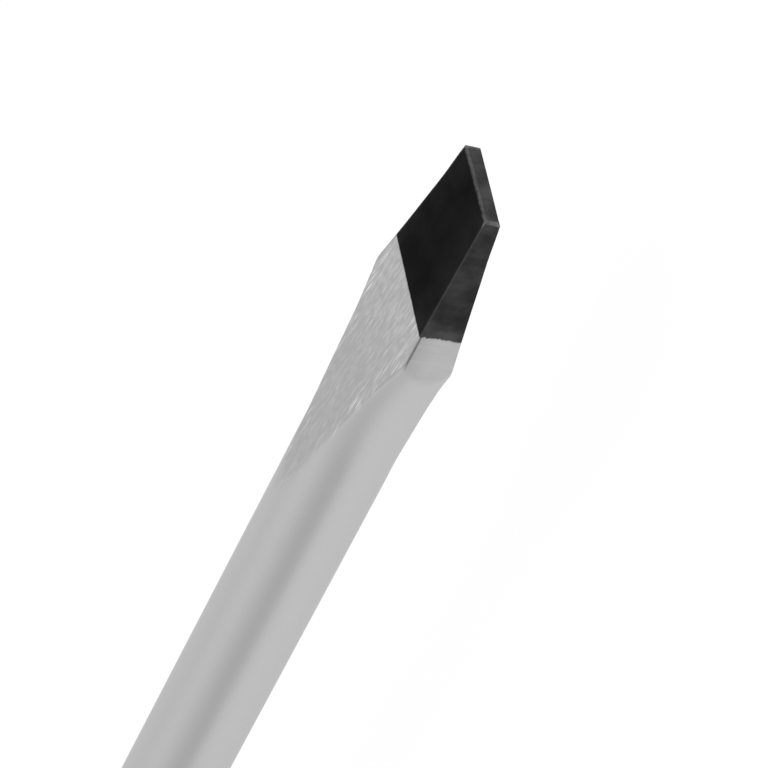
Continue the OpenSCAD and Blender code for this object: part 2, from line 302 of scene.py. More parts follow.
def halfColumns(s, side):
    # Angles round the upper (side 1) or lower (side -1) half of each station. Between two corners the
    # columns lie on a straight line, closer together towards each corner.
    g = bladeColumns
    width, upper, lower, barWide, barHigh = bladeLimits(s)
    height = upper if side > 0 else lower
    flatEnd = flatReach(width, height, barWide, barHigh)
    sideEnd = flatReach(height, width, barHigh, barWide)
    even = np.radians(g["evenAngle"])
    low = np.arctan2(g["sideShare"] * sideEnd, np.minimum(width, barWide))
    low = np.maximum(low, even * smooth((s - g["sideOut"]) / g["evenRun"]))
    high = np.arctan2(np.minimum(height, barHigh), g["flatShare"] * flatEnd)
    high = np.minimum(high, np.pi / 2 - even * smooth((s - g["flatOut"]) / g["evenRun"]))
    atWing = smooth((g["wingReach"] - np.abs(s - blade["wingMiddle"])) / g["changeRun"])
    wingLow, wingHigh = np.radians(g["wingAngles"])
    low = low + (wingLow - low) * atWing
    high = high + (wingHigh - high) * atWing
    atCross = smooth((g["crossReach"] - (blade["length"] - s)) / g["changeRun"])
    outer = np.minimum(blade["barRadius"], coneRadius(s))
    arm = np.arcsin(np.clip(armHalf(s) / outer, 0, g["armMost"]))
    low = low + (arm - low) * atCross
    high = high + (np.pi / 2 - arm - high) * atCross
    corners = np.stack([0 * s, low, high, 0 * s + np.pi / 2], -1)
    reach = bladeRadius(s[:, None], side * corners)[0]
    cornerY, cornerZ = reach * np.cos(corners), reach * np.sin(corners)
    quarter = []
    for k, count in enumerate(g["counts"]):
        t = (1 - np.cos(np.pi * np.arange(count) / count)) / 2
        y = cornerY[:, k, None] * (1 - t) + cornerY[:, k + 1, None] * t
        z = cornerZ[:, k, None] * (1 - t) + cornerZ[:, k + 1, None] * t
        quarter.append(np.arctan2(z, y))
    quarter = np.concatenate(quarter + [corners[:, 3:]], 1)
    return np.concatenate([quarter, np.pi - quarter[:, -2:0:-1]], 1)


def bladeRows():  # stations along the blade, close at edges, run-outs, grooves, wings and the cross
    first, second = blade["grooves"]
    reach, middle, end = blade["grooveReach"], blade["wingMiddle"], blade["length"]
    return stations(
        0, (blade["tipEdge"], 8), (10, 22), (12.6, 52), (24.6, 48), (28.6, 60),
        (first - reach, 26), (first + reach, 36),
        (middle - 6, 6), (middle - 2, 32), (middle + 2, 8), (middle + 6, 32),
        (second - reach, 6), (second + reach, 36), (end - 16, 26), (end - 0.2, 90), (end, 4))


def makeBlade(material):
    s = bladeRows()
    angle = np.concatenate([halfColumns(s, 1), halfColumns(s, -1) + np.pi], 1)
    s = s[:, None]
    radius, onFlat, onSide, height = bladeRadius(s, angle)
    y, z = radius * np.cos(angle), radius * np.sin(angle)
    # the zones that the material reads: shares of flat and side, height on a side or end face from -1
    # to 1 at its edges, and the way out across a flat, 1 at its border
    limits = bladeLimits(s)
    flatEnd = flatReach(limits[0], height, *limits[3:])
    across = np.clip(np.abs(y) / np.maximum(flatEnd, 0.3), 0, 1.5)
    grid = np.stack([tipX - s + 0 * y, y, axisZ + z, onFlat, onSide, z / height, across], -1)
    # each end face gets two inner rows, so that its edge stays crisp
    centre = np.array([tipX, 0, axisZ, 0, 0, 0, 0])
    shrinks = np.array([False, True, True, False, False, True, True])
    tipRows = [centre + (grid[0] - centre) * np.where(shrinks, k, 1) for k in blade["endRows"]]
    pointRows = [centre + (grid[-1] - centre) * np.where(shrinks, k, 1) for k in blade["endRows"][::-1]]
    grid = np.concatenate([tipRows, grid, pointRows])
    mesh = surface("reversibleBlade", grid[..., :3])
    paint(mesh, "zones", grid[..., 3:])
    place(mesh, material, "blade", "reversible_blade")


# Bar steel with satin chrome plating: a soft even gloss on the round bar, belt-ground flats with
# lengthwise lines, cross-ground sides, and a dull black oxide on both tips. The belt lines, scratches
# and cross grain are a few hundredths of a millimetre on the real blade and are drawn coarser to show.

bladeLook = {
    "plate": "#c1c1c1", "plateRough": 0.37,
    "edgeTint": "#f2f2f2",  # seen along its surface, chrome reflects a little less than all
    # flats: two tones, sizes and tilts of the lines, and their contrast and level between two stations
    "ground": "#cacaca", "groundDark": "#b1b1b1", "groundRough": 0.42, "relief": 0.02, "reliefShare": 0.25,
    "brushWidth": 0.1, "brushLength": 1.2, "brushTilt": 0.03, "lineDepth": 5.0, "blotch": 1.7,
    "streakWidth": 0.25, "streakLength": 0.6, "streakTilt": 0.06, "lineSpan": (0.15, 0.36),
    "contrast": (0.75, 0.45), "contrastAt": (11.0, 20.0), "level": (0.36, 0.14), "levelAt": (10.0, 15.0),
    # scratches: they show where the sum of their noise, the patches and the way to the border is high
    "scratch": "#e6e6e6", "scratchWidth": 0.08, "scratchLength": 2.0, "scratchTilt": 0.07,
    "scratchCut": (0.77, 0.87), "scratchPatch": 0.25, "scratchBorder": (0.35, 0.9, -0.06, 0.06),
    # painted shade: a dark line along the borders of the flats, fading out between two stations
    "paintedShadeLine": 0.2, "paintedShadeLineAt": (11.5, 19.0), "paintedShadeLineCut": (0.1, 0.25),
    # sides: grain, and painted shade over the height and close under the upper edge
    "sideDark": "#b0b0b0", "sideGrain": (0.28, 2.5, 2.2222),
    "sidePaintedShade": (0.1, 1.0, 1.0, 0.82), "sideEdge": (0.88, 0.98, 1.0, 0.3),
    # oxide: lengths on both tips, its ragged border, and its tones on flat, side and end face
    "blackLength": 8.52, "crossBlackLength": 9.0, "border": 0.05, "askew": 0.04, "sideShort": 0.1,
    "ragCell": (1.6667, 0.5, 0.41667), "ragOnFlat": 0.08, "ragOnSide": 0.5,
    "blackRough": 0.62, "blackGloss": 0.015,
    "black": "#111111", "blackSide": "#363636", "blackEnd": "#404040", "crossGrey": 0.6,
    "thinLength": 1.4, "thinGain": 1.4, "grainGain": (0.9, 1.1), "borderGain": (0.3, 1.0, 0.75, 1.6),
    "cloudGain": (0.35, 0.65, 0.65, 1.35),
    # end face: its zone, how its border wanders, and a paler strip by its upper edge, partly bare wear and
    # partly a painted highlight of the rounded edge
    "endZone": (0.12, 0.36), "endWander": 0.26, "endBareAndHighlight": (0.86, 1.0),
    # tone of a bare edge (partly wear, partly a painted highlight), also used for the painted shade line,
    # and of a chip; chips at the end's corners, and worn edges
    "wornAndPaintedGrey": "#505050", "chip": "#808080", "fleck": 0.35, "fleckCut": (0.35, 0.6, 0.2, 1.0),
    "chipShare": 0.8, "chipAt": (0.05, 0.16), "chipCorner": (0.95, 0.99),
    "edgeWear": (0.75, 0.13), "edgeWearAt": (0.2, 0.55), "edgeCut": (0.02, 0.25),
}


def lineNoise(add, local, kind, detail):  # noise drawn out along the blade, a little askew
    look = bladeLook
    drawn = add("Mapping", {
        "Vector": local, "Rotation": (0, 0, look[kind + "Tilt"]),
        "Scale": (1 / look[kind + "Length"], 1 / look[kind + "Width"], 1 / look["lineDepth"])})
    return add("TexNoise", (drawn, 1, detail))


def cellNoise(add, local, cell, detail):  # noise in cells of this length, width and height
    drawn = add("Mapping", {"Vector": local, "Scale": [1 / size for size in cell]})
    return add("TexNoise", (drawn, 1, detail))


def bladeFields(add):
    # What the blade's patterns read: the place in mm from the slotted tip (x is s, y across, z up),
    # the painted zones, and the noises that more than one of them uses
    coords = add("TexCoord").node.outputs["Object"]
    local = add("Mapping", {
        "Vector": coords, "Location": (tipX, 0, -axisZ), "Scale": (-1 / mm, 1 / mm, 1 / mm)})
    spot = add("SeparateXYZ", (local,)).node.outputs
    zones = add("Attribute", attribute_name="zones").node.outputs
    shares = add("SeparateColor", (zones["Color"],)).node.outputs
    return {
        "local": local, "s": spot[0], "y": spot[1],
        "flat": shares[0], "side": shares[1], "rim": shares[2], "across": zones["Alpha"],
        "blotch": add("TexNoise", (local, 1 / bladeLook["blotch"], 3)),
        "grain": cellNoise(add, local, bladeLook["sideGrain"], 2),
        "lines": lineNoise(add, local, "brush", 3),
    }


def groundFlats(add, at):
    # belt lines times broader streaks, weaker towards the bar, under bright scratches that gather in
    # patches and towards the borders
    look = bladeLook
    streak = lineNoise(add, at["local"], "streak", 2)
    product = add("Math", (at["lines"], streak), operation="MULTIPLY")
    tone = add("MapRange", (product, *look["lineSpan"], -0.5, 0.5))
    contrast = add("MapRange", (at["s"], *look["contrastAt"], *look["contrast"]))
    level = add("MapRange", (at["s"], *look["levelAt"], *look["level"]))
    share = add("Math", (tone, contrast, level), operation="MULTIPLY_ADD")
    lined = add("Mix", (share, look["groundDark"], look["ground"]), data_type="RGBA")
    scratch = lineNoise(add, at["local"], "scratch", 1)
    toBorder = add("MapRange", (at["across"], *look["scratchBorder"]))
    patches = add("Math", (at["blotch"], look["scratchPatch"], toBorder), operation="MULTIPLY_ADD")
    dense = add("Math", (scratch, patches), operation="ADD")
    scratched = add("MapRange", (dense, *look["scratchCut"]))
    return add("Mix", (scratched, lined, look["scratch"]), data_type="RGBA")


def groundSides(add, at):
    # cross grain, with painted shade: darker towards the upper edge and darkest close under it
    look = bladeLook
    grained = add("Mix", (at["grain"], look["sideDark"], look["plate"]), data_type="RGBA")
    shadeFall = add("MapRange", (at["rim"], *look["sidePaintedShade"]))
    underEdge = add("MapRange", (at["rim"], *look["sideEdge"]), interpolation_type="SMOOTHSTEP")
    shade = add("Math", (shadeFall, underEdge), operation="MULTIPLY")
    return add("Mix", (1, grained, shade), data_type="RGBA", blend_type="MULTIPLY")


def brightSteel(add, at):
    # plate, flats and sides by their shares, with a thin line of painted shade along each border of a
    # flat, where it runs out into the plate and where it meets a side: flat * (1 - flat) is greatest there
    look = bladeLook
    notFlat = add("Math", (1, at["flat"]), operation="SUBTRACT")
    runOut = add("Math", (notFlat, at["flat"]), operation="MULTIPLY")
    paintedShadeLine = add("MapRange", (runOut, *look["paintedShadeLineCut"]))
    fade = add("MapRange", (at["s"], *look["paintedShadeLineAt"], look["paintedShadeLine"], 0))
    share = add("Math", (paintedShadeLine, fade), operation="MULTIPLY")
    withFlat = add("Mix", (at["flat"], look["plate"], groundFlats(add, at)), data_type="RGBA")
    shadeLined = add("Mix", (share, withFlat, look["wornAndPaintedGrey"]), data_type="RGBA")
    return add("Mix", (at["side"], shadeLined, groundSides(add, at)), data_type="RGBA")


def oxideZones(add, at):
    # where the black is, on both tips and on the cross alone: its edge is straight and a little askew
    # across the flats, and ragged on the sides
    look = bladeLook
    rag = cellNoise(add, at["local"], look["ragCell"], 4)
    ragShift = add("Math", (rag, 0.5), operation="SUBTRACT")
    ragSize = add("MapRange", (at["side"], 0, 1, look["ragOnFlat"], look["ragOnSide"]))
    askew = add("Math", (at["y"], look["askew"], at["s"]), operation="MULTIPLY_ADD")
    shifted = add("Math", (at["side"], look["sideShort"], askew), operation="MULTIPLY_ADD")
    ragged = add("Math", (ragShift, ragSize, shifted), operation="MULTIPLY_ADD")
    slotEnd, crossStart = look["blackLength"], blade["length"] - look["crossBlackLength"]
    border = look["border"]
    onSlot = add("MapRange", (ragged, slotEnd - border, slotEnd + border, 1, 0))
    onCross = add("MapRange", (ragged, crossStart - border, crossStart + border))
    return add("Math", (onSlot, onCross), operation="MAXIMUM"), onCross


def oxideTone(add, at, onCross, onEnd):
    # cloudy black, thinner by its border, greyer on the sides and the cross, and greyest on the end
    # face, with a paler strip by its upper edge, partly bare wear and partly a painted highlight
    look = bladeLook
    thinFrom = look["blackLength"] - look["thinLength"]
    thin = add("MapRange", (at["s"], thinFrom, look["blackLength"], 1, look["thinGain"]))
    toBorder = add("MapRange", (at["across"], *look["borderGain"]))
    grain = add("MapRange", (at["grain"], *noiseSpan, *look["grainGain"]))
    tones = []
    for vary, name in ((toBorder, "black"), (grain, "blackSide")):
        gain = add("Math", (vary, thin), operation="MULTIPLY")
        tones.append(add("Mix", (1, look[name], gain), data_type="RGBA", blend_type="MULTIPLY"))
    crossGrey = add("Math", (onCross, look["crossGrey"]), operation="MULTIPLY")
    grey = add("Math", (at["side"], crossGrey), operation="MAXIMUM")
    faces = add("Mix", (grey, *tones), data_type="RGBA")
    bareAndHighlight = add("MapRange", (at["rim"], *look["endBareAndHighlight"]), interpolation_type="SMOOTHSTEP")
    end = add("Mix", (bareAndHighlight, look["blackEnd"], look["wornAndPaintedGrey"]), data_type="RGBA")
    withEnd = add("Mix", (onEnd, faces, end), data_type="RGBA")
    cloudy = add("MapRange", (at["blotch"], *look["cloudGain"]))
    return add("Mix", (1, withEnd, cloudy), data_type="RGBA", blend_type="MULTIPLY")


def oxideWear(add, at, fleck, onEnd):
    # worn edges where flat and side meet, barest close to the tip, and chips at the end face's corners
    look = bladeLook
    offEnd = add("Math", (1, onEnd), operation="SUBTRACT")
    flatEdge = add("Math", (at["flat"], offEnd), operation="MULTIPLY")
    meeting = add("Math", (flatEdge, at["side"]), operation="MULTIPLY")
    edgeLine = add("MapRange", (meeting, *look["edgeCut"]))
    edgeLevel = add("MapRange", (at["s"], *look["edgeWearAt"], *look["edgeWear"]))
    edge = add("Math", (edgeLine, edgeLevel), operation="MULTIPLY")
    atEnd = add("MapRange", (at["s"], *look["chipAt"], look["chipShare"], 0))
    nearCorner = add("MapRange", (at["across"], *look["chipCorner"]))
    corner = add("Math", (atEnd, nearCorner), operation="MULTIPLY")
    flecks = add("MapRange", (fleck, *look["fleckCut"]))
    chip = add("Math", (corner, flecks), operation="MULTIPLY")
    return add("Math", (chip, edge), operation="MAXIMUM")


def blackOxide(add, at, onCross):
    # the oxide's tone, with pale steel where it is worn; the end face's border wanders with the flecks
    look = bladeLook
    fleck = add("TexNoise", (at["local"], 1 / look["fleck"], 2))
    wander = add("Math", (fleck, look["endWander"], at["s"]), operation="MULTIPLY_ADD")
    onEnd = add("MapRange", (wander, *look["endZone"], 1, 0), interpolation_type="SMOOTHSTEP")
    tone = oxideTone(add, at, onCross, onEnd)
    worn = oxideWear(add, at, fleck, onEnd)
    return add("Mix", (worn, tone, look["chip"]), data_type="RGBA")


def chromedSteel():
    look = bladeLook
    material, add, shader = newMaterial("satinChromedSteel")
    at = bladeFields(add)
    black, onCross = oxideZones(add, at)
    colour = add("Mix", (black, brightSteel(add, at), blackOxide(add, at, onCross)), data_type="RGBA")
    metal = add("Math", (1, black), operation="SUBTRACT")
    ground = add("Math", (at["flat"], at["side"]), operation="MAXIMUM")
    brightRough = add("MapRange", (ground, 0, 1, look["plateRough"], look["groundRough"]))
    rough = add("Mix", (black, brightRough, look["blackRough"]))
    cuts = add("Mix", (at["side"], at["lines"], at["grain"]))
    relief = add("Math", (cuts, ground), operation="MULTIPLY")
    bump = add("Bump", {
        "Height": relief, "Strength": look["reliefShare"], "Distance": look["relief"] * mm})
    wire(shader, {
        "Base Color": colour, "Metallic": metal, "Roughness": rough, "Normal": bump,
        "Specular IOR Level": look["blackGloss"], "Specular Tint": look["edgeTint"]})
    return material


makeBlade(chromedSteel())

# Handle body: a line of tangent arcs r(u) carried round the axis, cut by six flats. The radius is
# the soft least of the arc line and the flats, sunk where a pad sits.

bodyFront, bodyBack = nodeSpan("handle_body")
ringFront, ringBack = nodeSpan("thumb_ring")

grip = {
    "neck": 9.7, "flange": 15.6, "waist": 11.4, "palm": 15.4, "palmAt": 80.0,
    "filletArc": 4.0, "crownArc": 7.0, "hollowArc": 22.0, "swellArc": 130.0,
    "flangeFlat": 14.0, "palmFlat": 13.7, "sharpness": 60, "edge": 0.3, "firstRow": 0.5, "columns": 288,
    "bore": 8.25, "socket": 9.55, "socketFrom": 101.0, "ringFloor": 9.8,
    "skin": 10.25, "seam": 0.7,  # radius from which the outside takes grime, and how far it spreads
}


def arcBefore(after, reach, level):  # centre at this level, in front of the next arc's centre
    return after[0] - np.sqrt(reach ** 2 - (after[1] - level) ** 2), level


def gripLine():
    # Neck, fillet, crown, hollow and swell as (u, r). Arcs that touch have their centres the sum of
    # their radii apart, so each centre follows from the next one.
    g = grip
    swell = g["palmAt"], g["palm"] - g["swellArc"]
    hollow = arcBefore(swell, g["swellArc"] + g["hollowArc"], g["waist"] + g["hollowArc"])
    crown = arcBefore(hollow, g["hollowArc"] + g["crownArc"], g["flange"] - g["crownArc"])
    fillet = arcBefore(crown, g["crownArc"] + g["filletArc"], g["neck"] + g["filletArc"])
    toBack = np.degrees(np.arccos((bodyBack - swell[0]) / g["swellArc"]))
    return np.concatenate([
        [[bodyFront, g["neck"]]],
        arcPoints(fillet, g["filletArc"], -90, bearing(fillet, crown), 60),
        arcPoints(crown, g["crownArc"], bearing(crown, fillet), bearing(crown, hollow), 120)[1:],
        arcPoints(hollow, g["hollowArc"], bearing(hollow, crown), bearing(hollow, swell), 160)[1:],
        arcPoints(swell, g["swellArc"], bearing(swell, hollow), toBack, 200)[1:]])


gripProfile = gripLine()


def gripRadius(u):  # the arc line's radius at u
    return np.interp(u, gripProfile[:, 0], gripProfile[:, 1])


def offFlat(angle):  # angle from the middle of the nearest flat, one of which faces straight up
    return angle % (np.pi / 3) - np.pi / 6


def flatten(u, radius, angle):  # soft least of a round radius and the flats, and how near their ridge is
    level = np.where(u < (ringFront + ringBack) / 2, grip["flangeFlat"], grip["palmFlat"])
    power = grip["sharpness"]
    onRound = (1 / radius) ** power + 0 * angle
    onFlat = (np.cos(offFlat(angle)) / level) ** power
    return (onRound + onFlat) ** (-1 / power), 4 * onRound * onFlat / (onRound + onFlat) ** 2


def makeBody(material):
    g = grip
    edge, seatEdge = g["edge"], g["edge"] / 2
    # rows close up round the fillet and the crown, and again along the pads
    nose = stations(bodyFront + g["firstRow"], (20.6, 10), (24.2, 16), (34, 46), (ringFront - seatEdge, 12))
    palm = stations(ringBack + seatEdge, (61, 18), (99, 104), (bodyBack - g["firstRow"], 16))
    seat = [(ringFront, gripRadius(ringFront) - seatEdge), (ringFront, g["ringFloor"]),
            (ringBack, g["ringFloor"]), (ringBack, gripRadius(ringBack) - seatEdge)]
    inside = [(bodyBack, g["socket"]), (g["socketFrom"], g["socket"]),
              (g["socketFrom"], g["bore"]), (bodyFront, g["bore"])]
    line = np.concatenate([
        arcPoints((bodyFront + edge, g["neck"] - edge), edge, 180, 90, 6),
        np.stack([nose, gripRadius(nose)], -1), seat, np.stack([palm, gripRadius(palm)], -1),
        arcPoints((bodyBack - edge, gripRadius(bodyBack) - edge), edge, 90, 0, 6), inside])
    u, r = line[:, :1], line[:, 1:]
    angle = fullTurn(g["columns"])
    radius, ridge = flatten(u, r, angle)
    off, outside = offFlat(angle), r > g["skin"]
    inPad = padEdge(u - pad["middle"], radius * np.sin(off))
    pocket = (pad["floor"] - pad["under"]) / np.cos(off)
    radius = np.where((inPad > pad["overlap"]) & outside, pocket, radius)
    # what the material reads: how near a ridge is, and how near a seam
    toSeam = np.abs(inPad)
    for seam in (bodyFront, ringFront, ringBack, bodyBack):
        toSeam = np.minimum(toSeam, np.abs(u - seam))
    mesh = surface("handleBody", roundAxis(u, radius, angle), ends="ring")
    grime = smooth(1 - toSeam / g["seam"]) * outside
    paint(mesh, "touch", np.stack([ridge, grime, 0 * ridge, 0 * ridge + 1], -1))
    place(mesh, material, "handle", "handle_body")


# Pads: a rounded bar carried along each flat, with cross grooves. The height at (along, across) is
# the face less a quarter-round drop at the rim, less the grooves where the rim is far.

padFront, padBack = nodeSpan("grip_pad_1")

pad = {
    "middle": (padFront + padBack) / 2, "length": padBack - padFront, "width": 8.6,
    "face": 14.0, "floor": 11.7, "rim": 0.45, "overlap": 0.5, "under": 0.1,
    "grooves": 7, "pitch": 3.6, "grooveDepth": 0.6, "grooveWidth": 1.5, "grooveIn": (0.5, 1.1),
    "rows": 141, "endRows": 26, "endTurn": 88, "columns": 41, "floorColumns": 5,
}


def padEdge(along, across):  # distance in from the rim of a pad, less than 0 outside it
    past = np.clip(np.abs(along) - (pad["length"] - pad["width"]) / 2, 0, None)
    return pad["width"] / 2 - np.sqrt(past ** 2 + across ** 2)


def makePad(number, material):
    p = pad
    straight, cap = (p["length"] - p["width"]) / 2, p["width"] / 2
    turn = np.sin(np.radians(np.linspace(0, p["endTurn"], p["endRows"])))[1:]
    middle = np.linspace(-straight, straight, p["rows"])
    along = np.concatenate([-straight - cap * turn[::-1], middle, straight + cap * turn])
    half = np.sqrt(cap ** 2 - np.clip(np.abs(along) - straight, 0, None) ** 2)[:, None]
    across = half * np.sin(np.pi / 2 * np.linspace(-1, 1, p["columns"]))
    inward = np.clip(padEdge(along[:, None], across), 0, None)
    groove = grooveDip(along, evenly(p["grooves"], p["pitch"]), p["grooveWidth"], p["grooveDepth"])
    fade = smooth((inward - p["grooveIn"][0]) / (p["grooveIn"][1] - p["grooveIn"][0]))
    top = p["face"] - rimDrop(inward, p["rim"]) - groove[:, None] * fade
    under = half * np.linspace(1, -1, p["floorColumns"])
    across = np.concatenate([across, under], 1)
    height = np.concatenate([top, 0 * under + p["floor"]], 1)
    out = np.radians(90 + 60 * number)
    points = fromMouth(p["middle"] + along[:, None], height * np.cos(out) - across * np.sin(out),
                       height * np.sin(out) + across * np.cos(out))
    mesh = surface("gripPad%d" % number, points)
    place(mesh, material, "handle", "grip_pad_%d" % number)


# Thumb ring: the handle's own line r(u) less five soft grooves, carried round and closed inside

thumbRing = {
    "grooves": 5, "pitch": 2.6, "depth": 0.6, "width": 1.5,
    "edge": 0.45, "gap": 0.04, "edgeRows": 8, "rows": 110, "columns": 192,
}


def makeThumbRing(material):
    t = thumbRing
    start, end, inner = ringFront + t["gap"], ringBack - t["gap"], grip["ringFloor"] + t["gap"]
    edge, edgeRows = t["edge"], t["edgeRows"]
    u = stations(start, (start + edge, edgeRows), (end - edge, t["rows"]), (end, edgeRows))
    drop = rimDrop(np.minimum(u - start, end - u), edge)
    spots = (start + end) / 2 + evenly(t["grooves"], t["pitch"])
    outer = gripRadius(u) - drop - grooveDip(u, spots, t["width"], t["depth"])
    line = np.concatenate([np.stack([u, outer], -1), [[end, inner], [start, inner]]])
    mesh = surface("thumbRing", roundAxis(line[:, :1], line[:, 1:], fullTurn(t["columns"])), ends="ring")
    place(mesh, material, "handle", "thumb_ring")


# Ferrule: a drawn cup carried round the axis. Its mouth is the greater of a round bore and the
# outline of the wings, each with running room.

ferrule = {
    "length": nodeSpan("ferrule")[1], "radius": 9.0, "nose": 0.9, "noseRun": 0.4,
    "bead": 9.4, "beadLength": 2.2, "beadRun": 0.3, "backRun": 0.6, "backEdge": 0.25,
    "sheet": 1.0, "inner": 8.25, "bore": 3.08, "columns": 360,
    "mouthHalfWidth": 5.08, "mouthFace": 3.0, "mouthTop": 2.38, "mouthSharpness": 80, "mouthEdge": 0.12,
}


def makeFerrule(material):
    f = ferrule
    angle = fullTurn(f["columns"])
    cosine, sine = np.abs(np.cos(angle)), np.abs(np.sin(angle))
    wing = softMin(f["mouthSharpness"], cosine / f["mouthHalfWidth"],
                   (sine + blade["wingSlope"] * cosine) / f["mouthFace"], sine / f["mouthTop"])
    mouth = np.maximum(wing, f["bore"])
    lip = arcPoints((f["mouthEdge"], f["mouthEdge"]), f["mouthEdge"], 270, 180, 5)
    step, back, edge = f["bead"] - f["radius"], f["length"], f["backEdge"]
    beadAt = back - f["beadLength"]
    line = np.concatenate([
        [[0, f["radius"] - f["nose"] - f["noseRun"]]],
        arcPoints((f["nose"], f["radius"] - f["nose"]), f["nose"], 180, 90, 12),
        [[f["nose"] + f["noseRun"], f["radius"]], [beadAt - f["beadRun"], f["radius"]]],
        arcPoints((beadAt + step, f["radius"]), step, 180, 90, 8), [[back - f["backRun"], f["bead"]]],
        arcPoints((back - edge, f["bead"] - edge), edge, 90, 0, 6),
        [[back, f["inner"]], [f["sheet"], f["inner"]]]])
    u = np.concatenate([line[:, :1], [[f["sheet"]]], lip[:, :1]])
    radius = np.concatenate([line[:, 1:] + 0 * angle, mouth, mouth + lip[:, 1:]])
    mesh = surface("platedFerrule", roundAxis(u, radius, angle), ends="ring")
    place(mesh, material, "handle", "ferrule")


# End cap: a domed line r(u) carried round and cut by two flats behind a shelf. A window in each flat
# is joined by straight lines to the rim of the hanging hole, which runs through from flat to flat.

endCap = {
    "back": nodeSpan("end_cap")[1], "radius": 12.4, "dome": 6.0, "flat": 8.5, "sharpness": 60, "edge": 0.3,
    "firstRow": 0.5, "shelf": 108.5, "seat": 5.25, "seatFloor": 117.75, "seatEdge": 0.15,
    "socket": 4.75, "socketFloor": 108.5, "hole": 113.0, "holeRadius": 2.75, "holeRow": 1.0,
    # across the shelf the flats' share of the outline goes from none to all
    "shelfRows": (-0.3, 0, 0.02, 0.04, 0.06, 0.08, 0.35), "shelfShare": (0, 0, 0.04, 0.5, 0.96, 1, 1),
    "window": (109.4, 116.9), "windowRows": 25, "windowColumns": 16, "domeTurn": (41, 90), "domeRows": 26,
    "columns": 240, "weld": 0.002,
}


def makeCap(material):
    k = endCap
    edge, columns, domeAt = k["edge"], k["columns"], k["back"] - k["dome"]
    nose = np.concatenate([
        [(k["socketFloor"], k["socket"] / 2), (k["socketFloor"], k["socket"]), (bodyBack, k["socket"])],
        arcPoints((bodyBack + edge, k["radius"] - edge), edge, 180, 90, 6),
        [(bodyBack + k["firstRow"], k["radius"])]])
    bent = np.sin(np.radians(np.linspace(*k["domeTurn"], k["domeRows"])))[1:]
    u = np.concatenate([k["shelf"] + np.array(k["shelfRows"]), np.linspace(*k["window"], k["windowRows"]),
                        domeAt + k["dome"] * bent])
    rise = np.clip(u - domeAt, 0, None)
    outer = np.stack([u, k["radius"] - k["dome"] + np.sqrt(k["dome"] ** 2 - rise ** 2)], -1)
    seat = [(k["back"], k["seat"] + k["seatEdge"]), (k["back"] - k["seatEdge"], k["seat"]),
            (k["seatFloor"], k["seat"]), (k["seatFloor"], k["seat"] / 2)]
    line = np.concatenate([nose, outer, seat])
    windowAt = len(nose) + len(k["shelfRows"])
    share = np.ones((len(line), 1))
    share[:windowAt, 0] = (0,) * len(nose) + k["shelfShare"]
    angle = fullTurn(columns)
    cut = softMin(k["sharpness"], 1 / line[:, 1:] + 0 * angle, np.abs(np.cos(angle)) / k["flat"])
    radius = line[:, 1:] * (1 - share) + cut * share
    grid = np.stack([line[:, :1] + 0 * radius, radius * np.cos(angle), radius * np.sin(angle)], -1)

    # cells of both windows, and the border of the first, which the throat starts from
    rows, wide = windowAt + np.arange(k["windowRows"]), k["windowColumns"]
    cells = np.zeros((len(line) - 1, columns), bool)
    for middle in (0, columns // 2):
        cells[rows[0]:rows[-1], np.arange(middle - wide, middle + wide) % columns] = True
    across, along = np.arange(-wide, wide + 1), rows[1:-1]
    border = np.concatenate([grid[rows[0], across], grid[along, wide], grid[rows[-1], across[::-1]],
                             grid[along[::-1], -wide]])
    # the throat: the border drawn in to a quarter-round rim, then straight to the middle, and mirrored
    turn = np.arctan2(border[:, 2], border[:, 0] - k["hole"])
    bend = np.radians(np.linspace(0, 90, 6))
    rimRadius = np.concatenate([k["holeRadius"] + edge * (1 - np.sin(bend)), [k["holeRadius"]] * 3])[:, None]
    rimY = np.concatenate([
        k["flat"] - edge * (1 - np.cos(bend)), [k["flat"] - k["holeRow"], k["flat"] / 2, 0]])
    rim = np.stack([k["hole"] + rimRadius * np.cos(turn), rimY[:, None] + 0 * turn,
                    rimRadius * np.sin(turn)], -1)
    half = np.concatenate([[border + (rim[0] - border) * t for t in (0, 0.4, 0.8)], rim])
    throat = np.concatenate([half, (half * np.array([1, -1, 1]))[-2::-1]])

    mesh = surface("endCap", fromMouth(*np.moveaxis(grid, -1, 0)), without=cells)
    hole = surface("endCapHole", fromMouth(*np.moveaxis(throat, -1, 0)), ends="open")
    joined = bmesh.new()
    joined.from_mesh(mesh)
    joined.from_mesh(hole)
    bmesh.ops.remove_doubles(joined, verts=joined.verts, dist=k["weld"] * mm)
    bmesh.ops.recalc_face_normals(joined, faces=joined.faces)
    joined.to_mesh(mesh)
    joined.free()
    bpy.data.meshes.remove(hole)
    place(mesh, material, "handle", "end_cap")


# Moulded polypropylene, fine spark-eroded skin: an even colour with a slight cloudiness, and a gloss
# broken by a grain, a few hundredths of a millimetre on the real part and drawn coarser to show. On
# the body the ridges are rubbed paler and smoother, and grime darkens the seams.

plastics = {
    "blueBody": {"deep": "#0c2f72", "pale": "#13408c", "worn": "#2f5ba4",
                 "rough": (0.3, 0.42), "grain": 0.35, "bump": 0.2},
    "graphiteCap": {"deep": "#212327", "pale": "#2c2e33", "worn": "#3a3d42",
                    "rough": (0.36, 0.5), "grain": 0.35, "bump": 0.25},
    "paleDisc": {"deep": "#a9acae", "pale": "#b9bcbd", "worn": "#c8cacb",
                 "rough": (0.42, 0.52), "grain": 0.25, "bump": 0.12},
}
plasticSkin = {"cloud": 9.0, "grimeShade": 0.45, "rubShine": -0.12, "depth": 0.05, "ior": 1.49, "gloss": 0.3}


